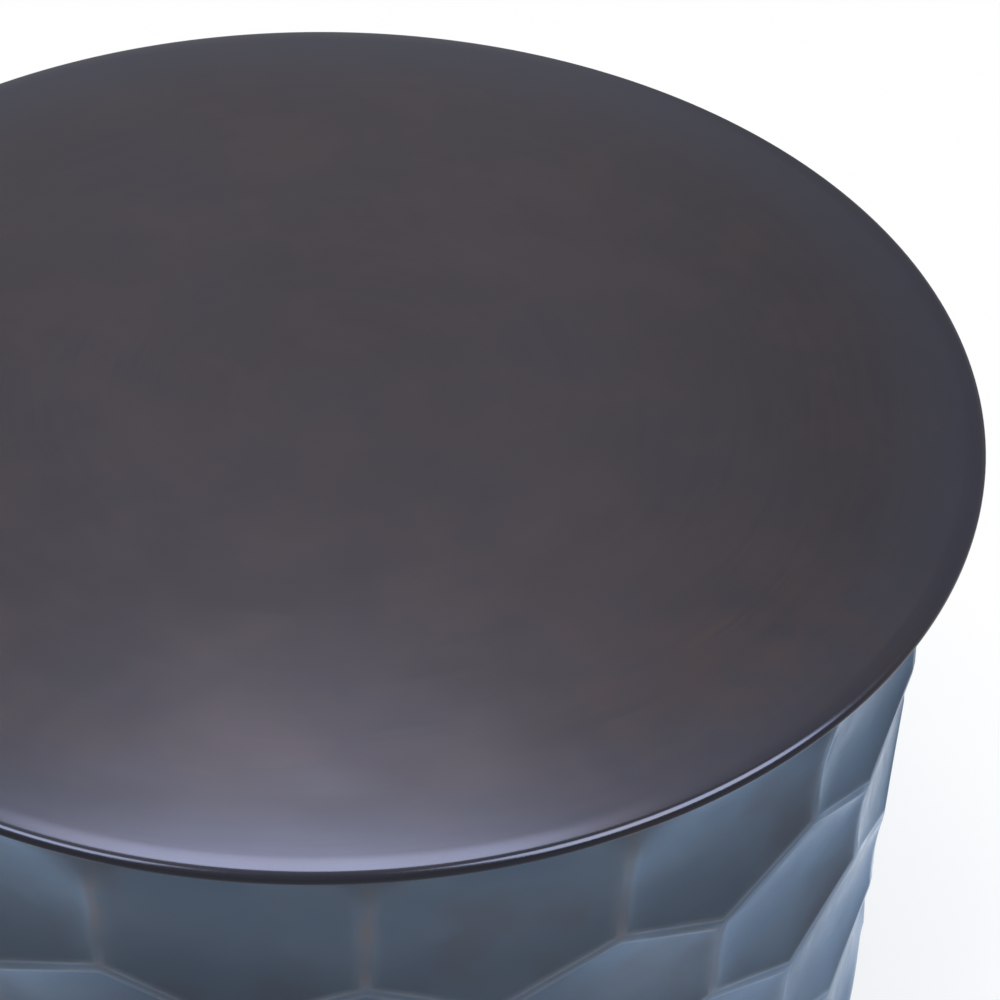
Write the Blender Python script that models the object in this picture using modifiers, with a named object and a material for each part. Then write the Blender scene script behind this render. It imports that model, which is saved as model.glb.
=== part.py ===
import math

import bmesh
import bpy

# Driving dimensions in metres and radians, +Z up, floor at z = 0.
OVERALL_HEIGHT = 0.417
GAP = 0.0003
RING_STEPS = 64
SMALL_STEPS = 10

LID_RADIUS = 0.360
LID_SHEET = 0.0015
EDGE_ROUND = 0.0045
EDGE_DEPTH = 0.0068
EDGE_HEM = 0.0032

LID_OVERHANG = 0.016
WALL_TAPER = 0.0385
WALL_SHEET = 0.0015
WALL_BAND = 0.012
CELLS_AROUND = 16
CELL_ROWS = 4
CELL_HEIGHT = 0.1145
SCOOP_DEPTH = 0.0055
SCOOP_RING = 0.012
SCOOP_RING_SHARE = 0.45

HOOP_SHEET = 0.002
HOOP_LEG = 0.0105
RIM_FLANGE_REACH = 0.013
BASE_FLANGE_WIDTH = 0.033
LID_HOOP_PLAY = 0.002
LID_HOOP_WIDTH = 0.020
LID_HOOP_DROP = 0.030

BRACE_WIDTH = 0.040
BRACE_SHEET = 0.003

BUMPER_COUNT = 8
BUMPER_INSET = 0.042
BUMPER_HEAD_RADIUS = 0.0058
BUMPER_HEAD = 0.003
BUMPER_STEM_RADIUS = 0.0028
BUMPER_BARB = 0.0009

PANEL_THICKNESS = 0.009
PANEL_PLAY = 0.001

GLIDE_COUNT = 6
GLIDE_HEIGHT = 0.010
GLIDE_RADIUS = 0.012
GLIDE_STEM_RADIUS = 0.004
GLIDE_STEM = 0.0075

SCREW_COUNT = 8
SCREW_HEAD_RADIUS = 0.0043
SCREW_HEAD = 0.0026
SCREW_SHANK_RADIUS = 0.0019
SCREW_REACH = 0.0062

# Levels and radii that follow from the driving dimensions.
WALL_TOP_RADIUS = LID_RADIUS - LID_OVERHANG
BUMPER_CIRCLE = LID_RADIUS - BUMPER_INSET
RIM_FLANGE_INNER = BUMPER_CIRCLE - RIM_FLANGE_REACH
LID_UNDERSIDE = OVERALL_HEIGHT - LID_SHEET
RIM_FLANGE_TOP = LID_UNDERSIDE - BUMPER_HEAD - 2.0 * GAP
WALL_TOP = RIM_FLANGE_TOP - HOOP_SHEET / 2.0
WALL_BOTTOM = GLIDE_HEIGHT
FACET_TOP = WALL_TOP - WALL_BAND
FACET_BOTTOM = WALL_BOTTOM + WALL_BAND
ROW_PITCH = 0.75 * CELL_HEIGHT
END_SIDE = (FACET_TOP - FACET_BOTTOM - (CELL_ROWS - 2) * ROW_PITCH - CELL_HEIGHT / 4.0) / 2.0
PANEL_BOTTOM = WALL_BOTTOM + HOOP_SHEET + GAP
HALF_CELL = math.pi / CELLS_AROUND


def wall_radius(z):
    return WALL_TOP_RADIUS - WALL_TAPER * (OVERALL_HEIGHT - z)


BASE_HOOP_RADIUS = wall_radius(WALL_BOTTOM) - WALL_SHEET - GAP
BASE_CIRCLE = BASE_HOOP_RADIUS - BASE_FLANGE_WIDTH / 2.0


def clear_scene():
    for obj in list(bpy.data.objects):
        bpy.data.objects.remove(obj, do_unlink=True)


def make_collection(name, hidden=False):
    collection = bpy.data.collections.new(name)
    bpy.context.scene.collection.children.link(collection)
    collection.hide_render = hidden
    return collection


def make_material(name, colour, metallic, roughness):
    material = bpy.data.materials.new(name)
    material.use_nodes = True
    shader = material.node_tree.nodes["Principled BSDF"]
    shader.inputs["Base Color"].default_value = (*colour, 1.0)
    shader.inputs["Metallic"].default_value = metallic
    shader.inputs["Roughness"].default_value = roughness
    return material


def link_object(name, mesh, material, collection):
    obj = bpy.data.objects.new(name, mesh)
    if material:
        obj.data.materials.append(material)
    collection.objects.link(obj)
    return obj


def mesh_object(name, bm, material, collection):
    mesh = bpy.data.meshes.new(name)
    bm.to_mesh(mesh)
    bm.free()
    return link_object(name, mesh, material, collection)


def spun(name, profile, closed, steps, material, collection, place=(0.0, 0.0, 0.0)):
    # A profile of (radius, height) points turned once around the Z axis.
    last = len(profile) - 1
    edges = [(i, i + 1) for i in range(last)]
    if closed:
        edges.append((last, 0))
    mesh = bpy.data.meshes.new(name)
    mesh.from_pydata([(r, 0.0, z) for r, z in profile], edges, [])
    obj = link_object(name, mesh, material, collection)
    obj.location = place
    screw = obj.modifiers.new("turn", "SCREW")
    screw.axis = "Z"
    screw.angle = 2.0 * math.pi
    screw.steps = steps
    screw.render_steps = steps
    screw.use_merge_vertices = True
    screw.merge_threshold = 0.00001
    return obj


def arc(centre, radius, start, stop, count):
    # Points on a circle in the profile plane; angles are measured from +Z towards +X.
    points = []
    for i in range(count + 1):
        angle = start + (stop - start) * i / count
        points.append((centre[0] + radius * math.sin(angle), centre[1] + radius * math.cos(angle)))
    return points


def on_circle(radius, index, count, phase=0.0):
    angle = phase + 2.0 * math.pi * index / count
    return radius * math.cos(angle), radius * math.sin(angle)


def drill(obj, name, radius, low, high, centres, cutters):
    # One cutter mesh of upright pins, taken out of the object.
    bm = bmesh.new()
    for x, y in centres:
        made = bmesh.ops.create_cone(
            bm, cap_ends=True, segments=SMALL_STEPS, radius1=radius, radius2=radius, depth=high - low
        )
        bmesh.ops.translate(bm, verts=made["verts"], vec=(x, y, (low + high) / 2.0))
    cutter = mesh_object(name, bm, None, cutters)
    cutter.hide_render = True
    cutter.display_type = "WIRE"
    cut = obj.modifiers.new("holes", "BOOLEAN")
    cut.operation = "DIFFERENCE"
    cut.solver = "EXACT"
    cut.object = cutter


def row_levels(row):
    # Heights of a cell row: top point, upper corners, lower corners, bottom point.
    first_corner = FACET_TOP - END_SIDE
    upper = first_corner - CELL_HEIGHT / 4.0 - (row - 1) * ROW_PITCH
    lower = first_corner - row * ROW_PITCH
    top = upper + CELL_HEIGHT / 4.0
    bottom = lower - CELL_HEIGHT / 4.0
    if row == 0:
        top = upper = FACET_TOP
    if row == CELL_ROWS - 1:
        lower = bottom = FACET_BOTTOM
    return top, upper, lower, bottom


def add_cell(bm, row, column):
    # A six-sided cell laid out flat: x is the angle around the drum, y is the height.
    top, upper, lower, bottom = row_levels(row)
    centre = (2.0 * column + 1.0 + row % 2) * HALF_CELL
    made = bmesh.ops.create_circle(bm, cap_ends=True, segments=6, radius=1.0)
    for vert in made["verts"]:
        side = round(vert.co.x / math.cos(math.pi / 6.0))
        if side == 0:
            level = top if vert.co.y > 0.0 else bottom
        else:
            level = upper if vert.co.y > 0.0 else lower
        vert.co = (centre + side * HALF_CELL, level, 0.0)


def add_band(bm, level, target):
    edges = []
    for edge in bm.edges:
        if all(abs(vert.co.y - level) < 1e-6 for vert in edge.verts):
            edges.append(edge)
    made = bmesh.ops.extrude_edge_only(bm, edges=edges)
    for item in made["geom"]:
        if isinstance(item, bmesh.types.BMVert):
            item.co.y = target


def drum_shell(material, collection):
    bm = bmesh.new()
    for row in range(CELL_ROWS):
        for column in range(CELLS_AROUND):
            add_cell(bm, row, column)
    bmesh.ops.remove_doubles(bm, verts=bm.verts, dist=0.0001)
    bmesh.ops.subdivide_edges(bm, edges=bm.edges, cuts=1)
    for vert in bm.verts:
        vert.co.x *= WALL_TOP_RADIUS
    cells = list(bm.faces)
    # Each cell is scooped: a ring set in from its border, then a deepest point.
    bmesh.ops.inset_individual(
        bm, faces=cells, thickness=SCOOP_RING, depth=-SCOOP_DEPTH * SCOOP_RING_SHARE
    )
    poked = bmesh.ops.poke(bm, faces=cells)
    for vert in poked["verts"]:
        vert.co.z = -SCOOP_DEPTH
    add_band(bm, FACET_TOP, WALL_TOP)
    add_band(bm, FACET_BOTTOM, WALL_BOTTOM)
    # The flat strip is rolled into the tapered drum and welded along its seam.
    for vert in bm.verts:
        angle = vert.co.x / WALL_TOP_RADIUS - math.pi / 2.0
        radius = wall_radius(vert.co.y) + vert.co.z
        vert.co = (radius * math.cos(angle), radius * math.sin(angle), vert.co.y)
    bmesh.ops.remove_doubles(bm, verts=bm.verts, dist=0.0001)
    bmesh.ops.recalc_face_normals(bm, faces=bm.faces)
    obj = mesh_object("drum_shell", bm, material, collection)
    sheet = obj.modifiers.new("sheet", "SOLIDIFY")
    sheet.thickness = WALL_SHEET
    sheet.offset = -1.0
    return obj


def rim_hoop(material, collection, cutters):
    low = RIM_FLANGE_TOP - HOOP_LEG
    outer = wall_radius(low) - WALL_SHEET - GAP
    profile = [
        (outer, RIM_FLANGE_TOP),
        (outer, low),
        (outer - HOOP_SHEET, low),
        (outer - HOOP_SHEET, RIM_FLANGE_TOP - HOOP_SHEET),
        (RIM_FLANGE_INNER, RIM_FLANGE_TOP - HOOP_SHEET),
        (RIM_FLANGE_INNER, RIM_FLANGE_TOP),
    ]
    obj = spun("rim_hoop", profile, True, RING_STEPS, material, collection)
    centres = [on_circle(BUMPER_CIRCLE, i, BUMPER_COUNT) for i in range(BUMPER_COUNT)]
    radius = BUMPER_STEM_RADIUS + GAP
    drill(obj, "bumper_holes", radius, low, RIM_FLANGE_TOP + HOOP_SHEET, centres, cutters)


def rim_bumper(index, material, collection):
    # A push-in bumper: domed head above the flange, stem through it, barb below.
    head_low = RIM_FLANGE_TOP + GAP
    head_top = head_low + BUMPER_HEAD
    barb_top = RIM_FLANGE_TOP - HOOP_SHEET - GAP
    chamfer = BUMPER_HEAD * 0.3
    profile = [
        (0.0, head_top),
        (BUMPER_HEAD_RADIUS - chamfer, head_top),
        (BUMPER_HEAD_RADIUS, head_top - chamfer),
        (BUMPER_HEAD_RADIUS, head_low),
        (BUMPER_STEM_RADIUS, head_low),
        (BUMPER_STEM_RADIUS, barb_top),
        (BUMPER_STEM_RADIUS + BUMPER_BARB, barb_top),
        (BUMPER_STEM_RADIUS, barb_top - BUMPER_HEAD),
        (0.0, barb_top - BUMPER_HEAD),
    ]
    x, y = on_circle(BUMPER_CIRCLE, index, BUMPER_COUNT)
    spun(f"rim_bumper_{index + 1}", profile, False, SMALL_STEPS, material, collection, (x, y, 0.0))


def screw_centres():
    phase = math.pi / SCREW_COUNT
    return [on_circle(BASE_CIRCLE, i, SCREW_COUNT, phase) for i in range(SCREW_COUNT)]


def glide_centres():
    return [on_circle(BASE_CIRCLE, i, GLIDE_COUNT, -math.pi / 2.0) for i in range(GLIDE_COUNT)]


def base_hoop(material, collection, cutters):
    outer = BASE_HOOP_RADIUS
    profile = [
        (outer, WALL_BOTTOM + HOOP_LEG),
        (outer, WALL_BOTTOM),
        (outer - BASE_FLANGE_WIDTH, WALL_BOTTOM),
        (outer - BASE_FLANGE_WIDTH, WALL_BOTTOM + HOOP_SHEET),
        (outer - HOOP_SHEET, WALL_BOTTOM + HOOP_SHEET),
        (outer - HOOP_SHEET, WALL_BOTTOM + HOOP_LEG),
    ]
    obj = spun("base_hoop", profile, True, RING_STEPS, material, collection)
    low = WALL_BOTTOM - HOOP_SHEET
    high = WALL_BOTTOM + 2.0 * HOOP_SHEET
    drill(obj, "hoop_screw_holes", SCREW_SHANK_RADIUS + GAP, low, high, screw_centres(), cutters)
    drill(obj, "hoop_glide_holes", GLIDE_STEM_RADIUS + GAP, low, high, glide_centres(), cutters)


def floor_panel(material, collection, cutters):
    radius = BASE_HOOP_RADIUS - HOOP_SHEET - PANEL_PLAY
    bm = bmesh.new()
    bmesh.ops.create_cone(
        bm, cap_ends=True, segments=RING_STEPS, radius1=radius, radius2=radius, depth=PANEL_THICKNESS
    )
    bmesh.ops.translate(bm, verts=bm.verts, vec=(0.0, 0.0, PANEL_BOTTOM + PANEL_THICKNESS / 2.0))
    obj = mesh_object("floor_panel", bm, material, collection)
    low = PANEL_BOTTOM - PANEL_THICKNESS
    screw_top = WALL_BOTTOM + HOOP_SHEET + SCREW_REACH + GAP
    glide_top = WALL_BOTTOM + GLIDE_STEM + GAP
    drill(obj, "panel_screw_holes", SCREW_SHANK_RADIUS + GAP, low, screw_top, screw_centres(), cutters)
    drill(obj, "panel_glide_holes", GLIDE_STEM_RADIUS + GAP, low, glide_top, glide_centres(), cutters)


def floor_screw(index, material, collection):
    # Driven upwards: shank in the panel, rounded head under the flange.
    seat = WALL_BOTTOM - GAP
    tip = WALL_BOTTOM + HOOP_SHEET + SCREW_REACH
    crown = 0.6 * SCREW_HEAD_RADIUS
    profile = [
        (0.0, tip),
        (SCREW_SHANK_RADIUS, tip - SCREW_SHANK_RADIUS),
        (SCREW_SHANK_RADIUS, seat),
        (SCREW_HEAD_RADIUS, seat),
        (SCREW_HEAD_RADIUS, seat - SCREW_HEAD * 0.5),
        (crown, seat - SCREW_HEAD),
        (0.0, seat - SCREW_HEAD),
    ]
    x, y = screw_centres()[index]
    spun(f"floor_screw_{index + 1}", profile, False, SMALL_STEPS, material, collection, (x, y, 0.0))


def glide(index, material, collection):
    # A push-in foot with a rounded lower edge.
    seat = WALL_BOTTOM - GAP
    round_edge = GLIDE_RADIUS * 0.2
    centre = (GLIDE_RADIUS - round_edge, round_edge)
    profile = [
        (0.0, WALL_BOTTOM + GLIDE_STEM),
        (GLIDE_STEM_RADIUS, WALL_BOTTOM + GLIDE_STEM),
        (GLIDE_STEM_RADIUS, seat),
        (GLIDE_RADIUS, seat),
    ]
    profile += arc(centre, round_edge, math.pi / 2.0, math.pi, 3)
    profile.append((0.0, 0.0))
    x, y = glide_centres()[index]
    spun(f"glide_{index + 1}", profile, False, SMALL_STEPS + 2, material, collection, (x, y, 0.0))


def lid_top(material, collection):
    # Spun sheet: flat top, rounded edge turned down into a short skirt with a hemmed lip.
    turn = (LID_RADIUS - EDGE_ROUND, OVERALL_HEIGHT - EDGE_ROUND)
    lip_radius = EDGE_HEM / 2.0
    lip = (LID_RADIUS - lip_radius, OVERALL_HEIGHT - EDGE_DEPTH + lip_radius)
    inner_round = EDGE_ROUND - LID_SHEET
    hem_angle = math.asin((LID_RADIUS - EDGE_HEM - turn[0]) / inner_round)
    profile = [(0.0, OVERALL_HEIGHT)]
    profile += arc(turn, EDGE_ROUND, 0.0, math.pi / 2.0, 5)
    profile += arc(lip, lip_radius, math.pi / 2.0, 1.5 * math.pi, 6)
    profile += arc(turn, inner_round, hem_angle, 0.0, 3)
    profile.append((0.0, LID_UNDERSIDE))
    spun("lid_top", profile, False, RING_STEPS, material, collection)


def lid_hoop(material, collection):
    # Angle ring welded under the lid; its leg drops inside the rim flange.
    top = LID_UNDERSIDE - GAP
    outer = RIM_FLANGE_INNER - LID_HOOP_PLAY
    profile = [
        (outer, top),
        (outer, top - LID_HOOP_DROP),
        (outer - HOOP_SHEET, top - LID_HOOP_DROP),
        (outer - HOOP_SHEET, top - HOOP_SHEET),
        (outer - LID_HOOP_WIDTH, top - HOOP_SHEET),
        (outer - LID_HOOP_WIDTH, top),
    ]
    spun("lid_hoop", profile, True, RING_STEPS, material, collection)


def flat_bar(name, length, centre_y, turned, material, collection):
    bm = bmesh.new()
    bmesh.ops.create_cube(bm, size=1.0)
    size = (BRACE_WIDTH, length, BRACE_SHEET) if turned else (length, BRACE_WIDTH, BRACE_SHEET)
    bmesh.ops.scale(bm, verts=bm.verts, vec=size)
    level = LID_UNDERSIDE - GAP - BRACE_SHEET / 2.0
    bmesh.ops.translate(bm, verts=bm.verts, vec=(0.0, centre_y, level))
    mesh_object(name, bm, material, collection)


def lid_braces(material, collection):
    inner = RIM_FLANGE_INNER - LID_HOOP_PLAY - LID_HOOP_WIDTH
    reach = math.sqrt(inner**2 - (BRACE_WIDTH / 2.0) ** 2) - 0.002
    flat_bar("lid_brace_long", 2.0 * reach, 0.0, False, material, collection)
    start = BRACE_WIDTH / 2.0 + GAP
    for index, side in enumerate((1.0, -1.0)):
        name = f"lid_brace_short_{index + 1}"
        flat_bar(name, reach - start, side * (reach + start) / 2.0, True, material, collection)


def build():
    clear_scene()
    table = make_collection("storage_coffee_table")
    cutters = make_collection("cutters", hidden=True)
    wall_finish = make_material("patina_wall", (0.085, 0.115, 0.155), 0.8, 0.36)
    lid_finish = make_material("patina_lid", (0.062, 0.056, 0.064), 0.8, 0.34)
    frame_paint = make_material("frame_paint", (0.025, 0.025, 0.028), 0.0, 0.5)
    board = make_material("board_black", (0.030, 0.028, 0.026), 0.0, 0.7)
    rubber = make_material("bumper_rubber", (0.015, 0.015, 0.015), 0.0, 0.8)
    plastic = make_material("glide_plastic", (0.020, 0.020, 0.020), 0.0, 0.55)
    zinc = make_material("screw_zinc", (0.55, 0.54, 0.50), 1.0, 0.35)
    drum_shell(wall_finish, table)
    rim_hoop(frame_paint, table, cutters)
    base_hoop(frame_paint, table, cutters)
    floor_panel(board, table, cutters)
    lid_top(lid_finish, table)
    lid_hoop(frame_paint, table)
    lid_braces(frame_paint, table)
    for index in range(BUMPER_COUNT):
        rim_bumper(index, rubber, table)
    for index in range(SCREW_COUNT):
        floor_screw(index, zinc, table)
    for index in range(GLIDE_COUNT):
        glide(index, plastic, table)


build()
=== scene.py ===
import math

import bmesh
import bpy
from mathutils import Matrix, Vector


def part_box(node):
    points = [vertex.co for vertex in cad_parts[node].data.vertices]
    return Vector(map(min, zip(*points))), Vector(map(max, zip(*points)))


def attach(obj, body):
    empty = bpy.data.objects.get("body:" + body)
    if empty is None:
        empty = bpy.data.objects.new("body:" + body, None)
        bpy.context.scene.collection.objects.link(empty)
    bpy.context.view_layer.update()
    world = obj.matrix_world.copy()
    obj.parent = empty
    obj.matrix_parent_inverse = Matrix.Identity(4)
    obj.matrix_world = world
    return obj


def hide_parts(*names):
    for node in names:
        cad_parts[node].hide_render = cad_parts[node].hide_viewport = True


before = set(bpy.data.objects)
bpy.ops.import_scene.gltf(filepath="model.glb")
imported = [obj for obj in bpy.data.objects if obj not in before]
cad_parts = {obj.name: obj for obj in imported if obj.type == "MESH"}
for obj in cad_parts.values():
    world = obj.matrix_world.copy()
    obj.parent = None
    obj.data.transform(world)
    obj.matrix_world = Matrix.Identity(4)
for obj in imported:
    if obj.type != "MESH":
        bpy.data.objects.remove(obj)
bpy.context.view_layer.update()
print("frame loaded:", len(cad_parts), "nodes")


def clearSelection():
    if bpy.context.object and bpy.context.object.mode != "OBJECT":
        bpy.ops.object.mode_set(mode="OBJECT")
    bpy.ops.object.select_all(action="DESELECT")


def useOnly(piece):
    clearSelection()
    piece.select_set(True)
    bpy.context.view_layer.objects.active = piece


def edgesWhere(piece, test):
    # in edit mode: select the edges whose two ends pass the test
    editMesh = bmesh.from_edit_mesh(piece.data)
    bpy.ops.mesh.select_all(action="DESELECT")
    bpy.ops.mesh.select_mode(type="EDGE")
    for edge in editMesh.edges:
        edge.select_set(all(test(vert.co) for vert in edge.verts))
    bmesh.update_edit_mesh(piece.data)


def vertsWhere(piece, test):
    editMesh = bmesh.from_edit_mesh(piece.data)
    bpy.ops.mesh.select_all(action="DESELECT")
    bpy.ops.mesh.select_mode(type="VERT")
    for vert in editMesh.verts:
        vert.select_set(test(vert.co))
    editMesh.select_flush(True)
    bmesh.update_edit_mesh(piece.data)


def applyModifiers(piece):
    useOnly(piece)
    for modifier in list(piece.modifiers):
        bpy.ops.object.modifier_apply(modifier=modifier.name)


def arcPoints(centre, radius, start, stop, count):
    # angles from +Z towards the outside, in radians
    points = []
    for i in range(count + 1):
        angle = start + (stop - start) * i / count
        points.append((centre[0] + radius * math.sin(angle), centre[1] + radius * math.cos(angle)))
    return points


def extrudeRings(startRing, rings):
    # the selected ring of edges is pulled out to each new radius and height
    radius, height = startRing
    for newRadius, newHeight in rings:
        bpy.ops.mesh.extrude_edges_move(TRANSFORM_OT_translate={"value": (0, 0, newHeight - height)})
        scale = newRadius / radius
        bpy.ops.transform.resize(value=(scale, scale, 1))
        radius, height = newRadius, newHeight


# camera, from the lid's outline and the facet corners in the photograph
cameraSetup = {
    "lens": 123.55,
    "distance": 1.4583,
    "height": 1.5881,
    "around": -3.19,
    "pitch": 40.548,
    "heading": 7.053,
    "roll": 2.146,
}


def makeCamera():
    around = math.radians(cameraSetup["around"])
    bpy.ops.object.camera_add()
    camera = bpy.context.object
    camera.name = "photoCamera"
    camera.data.lens = cameraSetup["lens"]
    camera.data.sensor_width = 36
    camera.location = (
        cameraSetup["distance"] * math.sin(around),
        -cameraSetup["distance"] * math.cos(around),
        cameraSetup["height"],
    )
    turn = Matrix.Rotation(-math.radians(cameraSetup["heading"]), 4, "Z")
    tilt = Matrix.Rotation(math.radians(90 - cameraSetup["pitch"]), 4, "X")
    roll = Matrix.Rotation(math.radians(cameraSetup["roll"]), 4, "Z")
    camera.rotation_euler = (turn @ tilt @ roll).to_euler()
    bpy.context.scene.camera = camera


makeCamera()
print("camera placed")


def newMaterial(name):
    material = bpy.data.materials.new(name)
    material.use_nodes = True
    nodes = material.node_tree.nodes
    return material, nodes, material.node_tree.links, nodes["Principled BSDF"]


def addNode(nodes, kind, **settings):
    node = nodes.new(kind)
    for key, value in settings.items():
        if key in node.inputs:
            node.inputs[key].default_value = value
        else:
            setattr(node, key, value)
    return node


def rampOf(nodes, links, field, stops):
    ramp = addNode(nodes, "ShaderNodeValToRGB")
    elements = ramp.color_ramp.elements
    while len(elements) < len(stops):
        elements.new(0.5)
    for element, (at, colour) in zip(elements, stops):
        element.position = at
        element.color = (*colour, 1)
    links.new(field, ramp.inputs[0])
    return ramp.outputs[0]


def noiseOf(nodes, links, place, scale, detail=3.0, rough=0.5):
    noise = addNode(nodes, "ShaderNodeTexNoise", Scale=scale, Detail=detail, Roughness=rough)
    links.new(place, noise.inputs["Vector"])
    return noise.outputs[0]


def fadeOf(nodes, links, field, fromLow, fromHigh, toLow=0.0, toHigh=1.0, smooth=True):
    fade = addNode(nodes, "ShaderNodeMapRange")
    if smooth:
        fade.interpolation_type = "SMOOTHSTEP"
    fade.inputs["From Min"].default_value = fromLow
    fade.inputs["From Max"].default_value = fromHigh
    fade.inputs["To Min"].default_value = toLow
    fade.inputs["To Max"].default_value = toHigh
    links.new(field, fade.inputs["Value"])
    return fade.outputs[0]


def mathOf(nodes, links, operation, first, second):
    node = addNode(nodes, "ShaderNodeMath", operation=operation)
    for socket, value in zip(node.inputs, (first, second)):
        if isinstance(value, (int, float)):
            socket.default_value = value
        else:
            links.new(value, socket)
    return node.outputs[0]


def blendOf(nodes, links, share, base, over):
    # colours: sockets or plain triples
    mix = addNode(nodes, "ShaderNodeMix", data_type="RGBA")
    links.new(share, mix.inputs[0])
    for socket, value in ((mix.inputs[6], base), (mix.inputs[7], over)):
        if isinstance(value, tuple):
            socket.default_value = (*value, 1)
        else:
            links.new(value, socket)
    return mix.outputs[2]


def bumpOf(nodes, links, heights):
    # heights: (field, strength, distance in metres), from coarse to fine
    normal = None
    for field, strength, distance in heights:
        bump = addNode(nodes, "ShaderNodeBump", Strength=strength, Distance=distance)
        links.new(field, bump.inputs["Height"])
        if normal:
            links.new(normal, bump.inputs["Normal"])
        normal = bump.outputs[0]
    return normal


# floor and light
floorSetup = {
    "size": 14.0,
    "paint": 0.82,
    "show": (0.38, 0.56, 0.68, 0.97),
    # painted pool of light for reflections: its reach, its level and its brightness by distance and by side
    "poolReach": 2.0,
    "poolLevel": 1.87,
    "pool": (
        (0.18, 1.0), (0.21, 0.88), (0.23, 0.76), (0.25, 0.60), (0.275, 0.46),
        (0.30, 0.38), (0.33, 0.31), (0.37, 0.265), (0.45, 0.245), (0.65, 0.23),
    ),
    "poolSide": ((0.35, 0.59), (0.5, 0.86), (0.62, 0.86), (0.8, 0.6)),
    # painted shade on the camera's side of the floor, seen in reflections
    "frontPaintedShade": (-0.87, -0.60, 0.48, 1.9),
}
lampSetup = {
    # name: place, aim, size, watts, colour
    "topBox": ((0.0, 0.81, 2.30), (-0.01, -0.33, 0.41), (0.86, 1.0), 12.0, (0.84, 0.90, 1.0)),
    "leftBox": ((-1.33, -1.17, 1.77), (0.0, 0.0, 0.36), (1.2, 1.0), 22, (0.82, 0.91, 1.0)),
    "rightBox": ((1.36, -1.14, 1.74), (0.0, 0.0, 0.36), (1.9, 1.4), 50, (0.82, 0.91, 1.0)),
}
airSetup = {"front": 0.30, "back": 0.78, "frontEdge": -0.75, "backEdge": 0.35, "right": (0.10, 0.25, 0.58)}


def partOf(nodes, links, vector, axis):
    split = addNode(nodes, "ShaderNodeSeparateXYZ")
    links.new(vector, split.inputs[0])
    return split.outputs[axis]


def greyRamp(nodes, links, field, stops):
    return rampOf(nodes, links, field, [(at, (g, g, g)) for at, g in stops])


def paintedLightPool(nodes, links, place):
    # painted pool of light on the floor, seen only in reflections: brightest close to the table and at its
    # sides, with painted shade capping it on the camera's side
    away = addNode(nodes, "ShaderNodeVectorMath", operation="LENGTH")
    links.new(place, away.inputs[0])
    reach = mathOf(nodes, links, "DIVIDE", away.outputs["Value"], floorSetup["poolReach"])
    pool = greyRamp(nodes, links, reach, floorSetup["pool"])
    way = addNode(nodes, "ShaderNodeVectorMath", operation="NORMALIZE")
    links.new(place, way.inputs[0])
    ahead = partOf(nodes, links, way.outputs[0], "Y")
    turn = fadeOf(nodes, links, ahead, -1.0, 1.0, smooth=False)
    side = greyRamp(nodes, links, turn, floorSetup["poolSide"])
    pool = mathOf(nodes, links, "MULTIPLY", pool, side)
    pool = mathOf(nodes, links, "MULTIPLY", pool, floorSetup["poolLevel"])
    frontShade = fadeOf(nodes, links, ahead, *floorSetup["frontPaintedShade"])
    return mathOf(nodes, links, "MINIMUM", pool, frontShade)


def seenShare(nodes, links, share):
    # how much of the floor's own glow the camera sees; gloss and glass see all of it
    rays = addNode(nodes, "ShaderNodeLightPath")
    seen = mathOf(nodes, links, "MULTIPLY", share, rays.outputs["Is Camera Ray"])
    for ray in ("Is Glossy Ray", "Is Transmission Ray"):
        seen = mathOf(nodes, links, "MAXIMUM", seen, rays.outputs[ray])
    return seen


def makeFloor():
    bpy.ops.mesh.primitive_plane_add(size=floorSetup["size"])
    floor = bpy.context.object
    floor.name = "paleFloor"
    material, nodes, links, paint = newMaterial("floorPaper")
    level = floorSetup["paint"]
    paint.inputs["Base Color"].default_value = (level, level, level, 1)
    paint.inputs["Roughness"].default_value = 0.9
    place = addNode(nodes, "ShaderNodeTexCoord").outputs["Object"]
    glow = addNode(nodes, "ShaderNodeEmission", Color=(1, 1, 1, 1))
    camera = addNode(nodes, "ShaderNodeLightPath").outputs["Is Camera Ray"]
    others = mathOf(nodes, links, "SUBTRACT", 1.0, camera)
    pool = mathOf(nodes, links, "MULTIPLY", paintedLightPool(nodes, links, place), others)
    # plain white for the camera, the painted pool of light for reflections
    links.new(mathOf(nodes, links, "MAXIMUM", camera, pool), glow.inputs["Strength"])
    mix = addNode(nodes, "ShaderNodeMixShader")
    away = addNode(nodes, "ShaderNodeVectorMath", operation="LENGTH")
    links.new(place, away.inputs[0])
    # the shadow stays near the table
    share = fadeOf(nodes, links, away.outputs["Value"], *floorSetup["show"])
    links.new(seenShare(nodes, links, share), mix.inputs[0])
    links.new(paint.outputs[0], mix.inputs[1])
    links.new(glow.outputs[0], mix.inputs[2])
    links.new(mix.outputs[0], nodes["Material Output"].inputs["Surface"])
    floor.data.materials.append(material)


def makeLamps():
    for name, (place, aim, size, watts, colour) in lampSetup.items():
        bpy.ops.object.light_add(type="AREA", location=place)
        lamp = bpy.context.object
        lamp.name = name
        lamp.rotation_euler = (Vector(aim) - Vector(place)).to_track_quat("-Z", "Y").to_euler()
        lamp.data.shape = "ELLIPSE" if name == "topBox" else "RECTANGLE"
        lamp.data.size, lamp.data.size_y = size
        lamp.data.energy = watts
        lamp.data.color = colour
        lamp.visible_camera = False


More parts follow.
